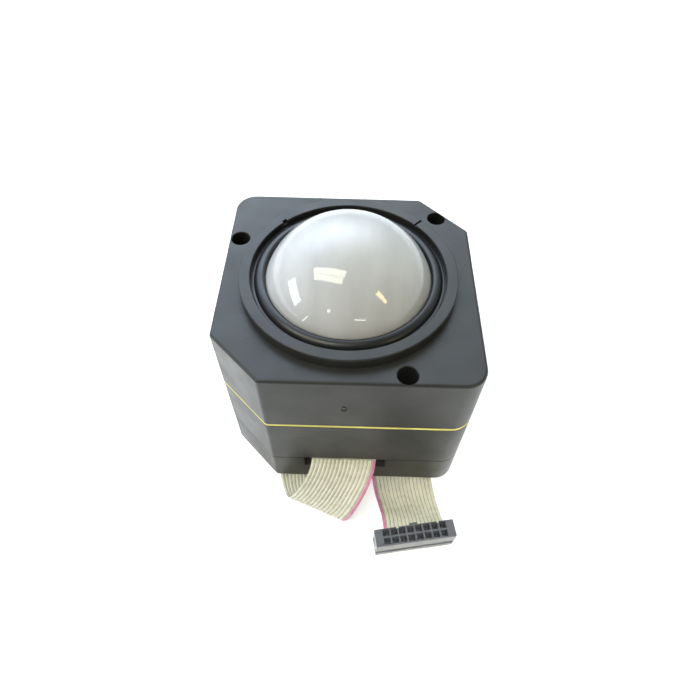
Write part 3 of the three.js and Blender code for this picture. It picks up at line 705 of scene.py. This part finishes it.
HOLE_R = 2.75 * MM
HOLE_DEPTH = 14 * MM
HOLE_WALL = 1.8 * MM
HOLES = [(-33.1 * MM, 15.4 * MM), (27.1 * MM, 26.8 * MM), (15.8 * MM, -32.6 * MM)]
SLOT_X = (-12.6 * MM, 13.3 * MM)
SLOT_Z = (11.5 * MM, SEAM_Z + MM)
MARK_X, MARK_Z = -0.2 * MM, 49 * MM

SCREWS = [
    (-31.2 * MM, 30.4 * MM),
    (31.2 * MM, -30.4 * MM),
    (-26.2 * MM, -25.3 * MM),
    (21.5 * MM, 30.8 * MM),
]
SCREW_POST_R = 3.6 * MM
RECESS_R = 3.05 * MM
RECESS_TOP = 5.9 * MM
SHANK_R = 1.7 * MM
# The standing pads: where each one is, and its radius.
PADS = [
    (-26 * MM, 25 * MM, 4 * MM),
    (26 * MM, 19.5 * MM, 4 * MM),
    (33 * MM, -20 * MM, 2.8 * MM),
    (-31 * MM, -6 * MM, 3.5 * MM),
]


def outline(inset, z):
    """The housing's outline at one height, moved inwards by an even distance."""
    x, y = HALF_W - inset, HALF_D - inset
    chamfer = CHAMFER - (2 - math.sqrt(2)) * inset
    radius = max(CORNER_R - inset, 0.6 * MM)
    flat = eased([
        (-x + chamfer, -y, CHAMFER_END_R),
        (x, -y, radius),
        (x, y - chamfer, CHAMFER_END_R),
        (x - chamfer, y, CHAMFER_END_R),
        (-x, y, radius),
        (-x, -y + chamfer, CHAMFER_END_R),
    ], steps=10)
    return [(p.x, p.y, z) for p in flat]


def prism(name, profile, loop=False):
    """The housing's outline through a profile of inset and height."""
    return skin(name, [outline(inset, z) for inset, z in eased(profile, loop=loop)], loop)


def post(radius, low, high, at):
    return disc("post", [(0, low), (radius, low), (radius, high), (0, high)], at, 48)


def radial_notch(near, far, width, azimuth, depth):
    """What is cut from the boss between two radii, in one direction."""
    notch = block("notch", (near, far), span(0, width / 2), (BOSS_Z - depth, BOSS_Z + MM))
    notch.data.transform(Matrix.Rotation(math.radians(azimuth), 4, "Z"))
    return notch


def mould_mark():
    """The small upright ring that a moulding's ejector leaves, in the front face."""
    inner, outer, depth, height = 0.55 * MM, 0.95 * MM, 0.25 * MM, 1.4
    mark = turned("mark", [(inner, -depth), (outer, -depth), (outer, MM), (inner, MM)], 32)
    mark.data.transform(Matrix.Scale(height, 4, (0, 1, 0)))
    place = Matrix.Translation((MARK_X, -HALF_D, MARK_Z))
    mark.data.transform(place @ Matrix.Rotation(math.pi / 2, 4, "X"))
    return mark


def top_housing():
    shell = prism("top_shell", [
        (SEAM_R, GASKET_HIGH),
        (0, GASKET_HIGH + SEAM_R, SEAM_R),
        (0, FLANGE_Z, EDGE_R),
        (EDGE_R + 0.3 * MM, FLANGE_Z),
    ])
    cut(shell, prism("cavity", [(WALL, GASKET_HIGH - MM), (WALL, FLANGE_Z - 4 * MM)]))
    for at in HOLES:
        holder = post(HOLE_R + HOLE_WALL, FLANGE_Z - HOLE_DEPTH - 2 * MM, FLANGE_Z - MM, at)
        envelope = prism("envelope", [(0.05 * MM, 40 * MM), (0.05 * MM, FLANGE_Z - 0.5 * MM)])
        join(shell, combine(holder, "INTERSECT", envelope))
    join(shell, disc("boss", [
        (0, FLANGE_Z - MM),
        (BOSS_R, FLANGE_Z - MM),
        (BOSS_R, BOSS_Z, 0.35 * MM),
        (0, BOSS_Z),
    ], segments=192))
    cut(shell, disc("bore", [
        (0, BORE_FOOT),
        (GROOVE_R, BORE_FOOT),
        (GROOVE_R, LEDGE_Z),
        (LEDGE_R, LEDGE_Z),
        (LEDGE_R, SEAT_Z),
        (SEAT_R, SEAT_Z),
        (SEAT_R, BOSS_Z - 0.2 * MM),
        (SEAT_R + 0.2 * MM, BOSS_Z),
        (SEAT_R + 0.2 * MM, BOSS_Z + MM),
        (0, BOSS_Z + MM),
    ], segments=192))
    for at in HOLES:
        cut(shell, disc("hole", [
            (0, FLANGE_Z - HOLE_DEPTH),
            (HOLE_R, FLANGE_Z - HOLE_DEPTH),
            (HOLE_R, FLANGE_Z - 0.2 * MM),
            (HOLE_R + 0.2 * MM, FLANGE_Z),
            (HOLE_R + 0.2 * MM, FLANGE_Z + MM),
            (0, FLANGE_Z + MM),
        ], at))
    cut(shell, radial_notch(SEAT_R - 0.5 * MM, BOSS_R - 0.3 * MM, 0.7 * MM, 45, 0.6 * MM))
    cut(shell, radial_notch(SEAT_R - 0.5 * MM, SEAT_R + 0.9 * MM, 1.6 * MM, 135, 1.2 * MM))
    cut(shell, mould_mark())
    return shade(shell)


def middle_housing():
    return shade(prism("middle_shell", [
        (SEAM_R, SEAM_Z),
        (0, SEAM_Z + SEAM_R),
        (0, GASKET_LOW - SEAM_R),
        (SEAM_R, GASKET_LOW),
        (WALL, GASKET_LOW),
        (WALL, SEAM_Z),
    ], loop=True))


def bottom_cover():
    cover = prism("bottom_shell", [
        (1.2 * MM, FOOT_Z),
        (0, FOOT_Z, 0.9 * MM),
        (0, SEAM_Z - SEAM_R),
        (SEAM_R, SEAM_Z),
    ])
    cut(cover, prism("cavity", [(WALL, FOOT_Z + WALL), (WALL, SEAM_Z + MM)]))
    for at in SCREWS:
        holder = post(SCREW_POST_R, FOOT_Z + MM, SEAM_Z - 0.1 * MM, at)
        envelope = prism("envelope", [(0.3 * MM, FOOT_Z), (0.3 * MM, SEAM_Z)])
        join(cover, combine(holder, "INTERSECT", envelope))
    for x, y, radius in PADS:
        profile = [(0, 0), (radius, 0, 0.5 * MM), (radius, FOOT_Z + MM), (0, FOOT_Z + MM)]
        join(cover, disc("pad", profile, (x, y)))
    for at in SCREWS:
        cut(cover, disc("recess", [
            (0, FOOT_Z - MM),
            (RECESS_R + 0.2 * MM, FOOT_Z - MM),
            (RECESS_R + 0.2 * MM, FOOT_Z),
            (RECESS_R, FOOT_Z + 0.2 * MM),
            (RECESS_R, RECESS_TOP),
            (SHANK_R, RECESS_TOP),
            (SHANK_R, SEAM_Z + MM),
            (0, SEAM_Z + MM),
        ], at))
    cut(cover, block("slot", SLOT_X, (-HALF_D - MM, -HALF_D + WALL + MM), SLOT_Z))
    return shade(cover)


def sealing_strip():
    low, high, lip = GASKET_LOW + 0.02 * MM, GASKET_HIGH - 0.02 * MM, 0.15 * MM
    return shade(prism("sealing_strip", [
        (0.03 * MM, low, lip),
        (0.03 * MM, high, lip),
        (WALL - 0.2 * MM, high),
        (WALL - 0.2 * MM, low),
    ], loop=True), 60)


mount(top_housing(), HOUSING, "housing", "housing", "top_housing")
mount(middle_housing(), HOUSING, "housing", "housing", "middle_housing")
mount(bottom_cover(), HOUSING, "housing", "housing", "bottom_cover")
mount(sealing_strip(), GASKET, "gasket", "housing", "housing_gasket")

# ---------------------------------------------------------------- ball and ring

BALL_LOW, BALL_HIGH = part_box("ball")
BALL_R = (BALL_HIGH.z - BALL_LOW.z) / 2
BALL_Z = (BALL_HIGH.z + BALL_LOW.z) / 2
LUG_AZIMUTHS = (75, 195, 315)
LUG_ARC = 22
LUG_R = (25.9 * MM, 27.6 * MM)
LUG_Z = (58.3 * MM, 60.0 * MM)

SKIRT_IN, SKIRT_OUT = 25.35 * MM, 26.1 * MM
SKIRT_FOOT = 58.2 * MM
SKIRT_TOP = 61.4 * MM
RIM_R = 27.5 * MM
RIM_Z = SEAT_Z + 0.05 * MM
CREST_R = 24.5 * MM
CREST_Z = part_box("retaining_ring")[1].z
SLOPE_R = 2.6 * MM
LIP_R = 0.85 * MM


def polished_ball():
    """A fine ball with even triangles, so that its reflections are true."""
    work = bmesh.new()
    bmesh.ops.create_icosphere(work, subdivisions=6, radius=BALL_R)
    bmesh.ops.translate(work, verts=work.verts, vec=(0, 0, BALL_Z))
    piece = finish_work("polished_ball", work)
    piece.data.shade_smooth()
    return piece


def arc(middle, radius, start, stop, steps):
    """Points of radius and height round a middle, between two angles in degrees."""
    points = []
    for step in range(steps + 1):
        angle = math.radians(start + (stop - start) * step / steps)
        points.append((middle[0] + radius * math.cos(angle), middle[1] + radius * math.sin(angle)))
    return points


def lug_block(azimuth):
    """One bayonet lug: a short arc that stands out from the ring's skirt."""
    (inner, outer), (low, high), steps = LUG_R, LUG_Z, 8
    rings = []
    for step in range(steps + 1):
        angle = math.radians(azimuth + LUG_ARC * (step / steps - 0.5))
        across = Vector((math.cos(angle), math.sin(angle), 0))
        corners = [(inner, low), (outer, low), (outer, high), (inner, high)]
        rings.append([across * radius + Vector((0, 0, z)) for radius, z in corners])
    return skin("lug", rings)


def locking_ring():
    """A long round slope outside a small lip beside the ball, on a skirt that carries the lugs."""
    slope = arc((CREST_R, CREST_Z - SLOPE_R), SLOPE_R, 28, 90, 16)
    lip = arc((CREST_R, CREST_Z - LIP_R), LIP_R, 90, 180, 8)
    profile = eased([
        (SKIRT_IN, SKIRT_FOOT),
        (SKIRT_OUT, SKIRT_FOOT),
        (SKIRT_OUT, RIM_Z),
        (RIM_R, RIM_Z),
        (RIM_R, slope[0][1], 0.15 * MM),
        *slope,
        *lip[1:],
        (CREST_R - LIP_R, CREST_Z - 1.2 * MM),
        (SKIRT_IN, SKIRT_TOP),
    ])
    ring = turned("locking_ring", profile, 256)
    for azimuth in LUG_AZIMUTHS:
        join(ring, lug_block(azimuth))
    return shade(ring, 40)


mount(polished_ball(), BALL, "ball", "ball", "ball")
mount(locking_ring(), RING, "ring", "ring", "retaining_ring")

# ---------------------------------------------------------------- carried-over CAD nodes

NODE_MATERIALS = [
    (("ball_seal",), SEAL),
    (("ball_carrier", "encoder_disc", "board_header"), BLACK),
    (("cover_screw", "carrier_screw", "board_screw", "idler_bracket", "crystal"), STEEL),
    (("shaft", "bearing", "idler_pin", "idler_wheel"), BRIGHT),
    (("roller",), ROLLER),
    (("encoder_sensor", "controller_chip"), CHIP),
    (("capacitor",), CAPACITOR),
    (("circuit_board",), BOARD),
    (("ribbon_inner",), SLEEVE),
]


def finish_nodes():
    """Gives each carried-over node the material that its name asks for."""
    for name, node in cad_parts.items():
        for starts, material in NODE_MATERIALS:
            if name.startswith(starts):
                node.data.materials.clear()
                node.data.materials.append(material)


finish_nodes()

# ---------------------------------------------------------------- floor and light

TARGET = Vector((0, 0, BALL_Z))
FLOOR_HALF = 4
FLOOR_DEPTH = 0.02

# The studio's soft glows: compass direction and height in degrees, tightness, and radiance.
GLOWS = [
    (124, 37, 10, (3.6, 4.4, 5.3)),
    (86, 43, 12, (3.6, 4.0, 4.5)),
    (20, 30, 6, (0.6, 0.7, 0.6)),
]
FILL = (0.07, 0.07, 0.065)
# A pale band round the horizon, and the height at which it has faded away.
HORIZON = (0.45, 0.46, 0.48)
HORIZON_TOP = 0.4

WARM, COOL = (1.0, 0.97, 0.79), (0.84, 0.93, 1.0)
AMBER, GOLD = (1.0, 0.79, 0.36), (1.0, 0.96, 0.85)

# Long lamps that face straight down: where, how large, radiance, colour, and turned how far.
CEILING_LAMPS = [
    ("lamp_near_bar", (-0.80, -0.46, 1.55), (1.25, 0.25), 10.5, WARM, -15),
    ("lamp_far_bar", (-0.72, -0.20, 1.55), (1.31, 0.25), 10.5, WARM, -15),
    ("far_lamp", (1.64, -1.13, 1.25), (1.3, 0.2), 15, AMBER, -30),
]

# Soft pools of light: where from, where to, how wide in degrees, and how strong in watts.
POOLS = [
    ("floor_left", (-0.35, 0, 0.8), (-0.17, 0, 0), 22, 28),
    ("cable_front", (0.18, -0.34, 0.52), (0.034, -0.056, 0), 8, 27),
]

GLINT_RADIANCE = 10
# Small lights that glint in the ball: where, how large, and turned how far.
GLINTS = [
    ("glint_left", (-0.47, -0.97, 0.59), (0.09, 0.09), 0),
    ("glint_front", (0.32, -1.09, 0.43), (0.30, 0.045), -14),
    ("glint_edge", (-0.96, -0.72, 0.06), (0.035, 0.36), -24),
    ("glint_right", (0.78, -0.91, 0.13), (0.035, 0.035), 0),
]


def add_floor():
    floor = block("floor", span(0, FLOOR_HALF), span(0, FLOOR_HALF), (-FLOOR_DEPTH, 0))
    floor.data.materials.append(principled("floor_paper", (0.92, 0.92, 0.92), 0.9))


def hang(light, at, target, turn=0):
    """Puts a light in its place, facing a target, turned in degrees and unseen by the camera."""
    facing = (Vector(target) - Vector(at)).to_track_quat("-Z", "Y").to_matrix().to_4x4()
    light.matrix_world = Matrix.Translation(at) @ facing @ Matrix.Rotation(math.radians(turn), 4, "Z")
    light.visible_camera = False
    bpy.context.scene.collection.objects.link(light)


def add_panel(name, at, size, radiance, colour, turn, target=TARGET):
    """A soft rectangular light of a given brightness that faces a target."""
    data = bpy.data.lights.new(name, "AREA")
    data.shape = "RECTANGLE"
    data.size, data.size_y = size
    data.energy = radiance * math.pi * size[0] * size[1]
    data.color = colour
    hang(bpy.data.objects.new(name, data), at, target, turn)


def add_pool(name, at, target, width, power):
    """A soft pool of light, which casts no shadow and isn't mirrored in the ball."""
    data = bpy.data.lights.new(name, "SPOT")
    data.energy = power
    data.spot_size = math.radians(width)
    data.spot_blend = 0.6
    data.shadow_soft_size = 0.05
    data.use_shadow = False
    light = bpy.data.objects.new(name, data)
    light.visible_glossy = False
    hang(light, at, target)


def add_maths(nodes, kind, operation):
    node = nodes.new(kind)
    node.operation = operation
    return node


def direction(compass, height):
    """The unit vector at a compass direction and a height, both in degrees."""
    around, up = math.radians(compass), math.radians(height)
    return math.cos(up) * math.cos(around), math.cos(up) * math.sin(around), math.sin(up)


def paint_sky(tree, background):
    """A dim studio, pale round the horizon, with wide glows, the brightest behind and to the left."""
    nodes, links = tree.nodes, tree.links
    place = nodes.new("ShaderNodeTexCoord")
    heights = nodes.new("ShaderNodeSeparateXYZ")
    links.new(place.outputs["Generated"], heights.inputs[0])
    band = nodes.new("ShaderNodeValToRGB")
    band.color_ramp.interpolation = "EASE"
    band.color_ramp.elements[0].color = (*HORIZON, 1)
    band.color_ramp.elements[1].position = HORIZON_TOP
    band.color_ramp.elements[1].color = (*FILL, 1)
    links.new(heights.outputs["Z"], band.inputs["Fac"])
    total = band.outputs["Color"]
    for compass, height, tightness, radiance in GLOWS:
        facing = add_maths(nodes, "ShaderNodeVectorMath", "DOT_PRODUCT")
        facing.inputs[1].default_value = direction(compass, height)
        links.new(place.outputs["Generated"], facing.inputs[0])
        ahead = add_maths(nodes, "ShaderNodeMath", "MAXIMUM")
        ahead.inputs[1].default_value = 0
        links.new(facing.outputs["Value"], ahead.inputs[0])
        fading = add_maths(nodes, "ShaderNodeMath", "POWER")
        fading.inputs[1].default_value = tightness
        links.new(ahead.outputs["Value"], fading.inputs[0])
        glow = add_maths(nodes, "ShaderNodeVectorMath", "MULTIPLY_ADD")
        glow.inputs[0].default_value = radiance
        links.new(fading.outputs["Value"], glow.inputs[1])
        links.new(total, glow.inputs[2])
        total = glow.outputs["Vector"]
    links.new(total, background.inputs["Color"])


def add_world():
    world = bpy.data.worlds.new("world")
    bpy.context.scene.world = world
    world.use_nodes = True
    paint_sky(world.node_tree, world.node_tree.nodes["Background"])


def add_lights():
    for name, at, size, radiance, colour, turn in CEILING_LAMPS:
        below = Vector(at) - Vector((0, 0, 1))
        add_panel(name, at, size, radiance, colour, turn, below)
    add_panel("left_window", (-1.87, -0.29, 0.56), (0.95, 0.42), 10, COOL, -13.5)
    for pool in POOLS:
        add_pool(*pool)
    for name, at, size, turn in GLINTS:
        add_panel(name, at, size, GLINT_RADIANCE, GOLD, turn)


add_floor()
add_world()
add_lights()
bpy.context.scene.view_settings.view_transform = "Standard"
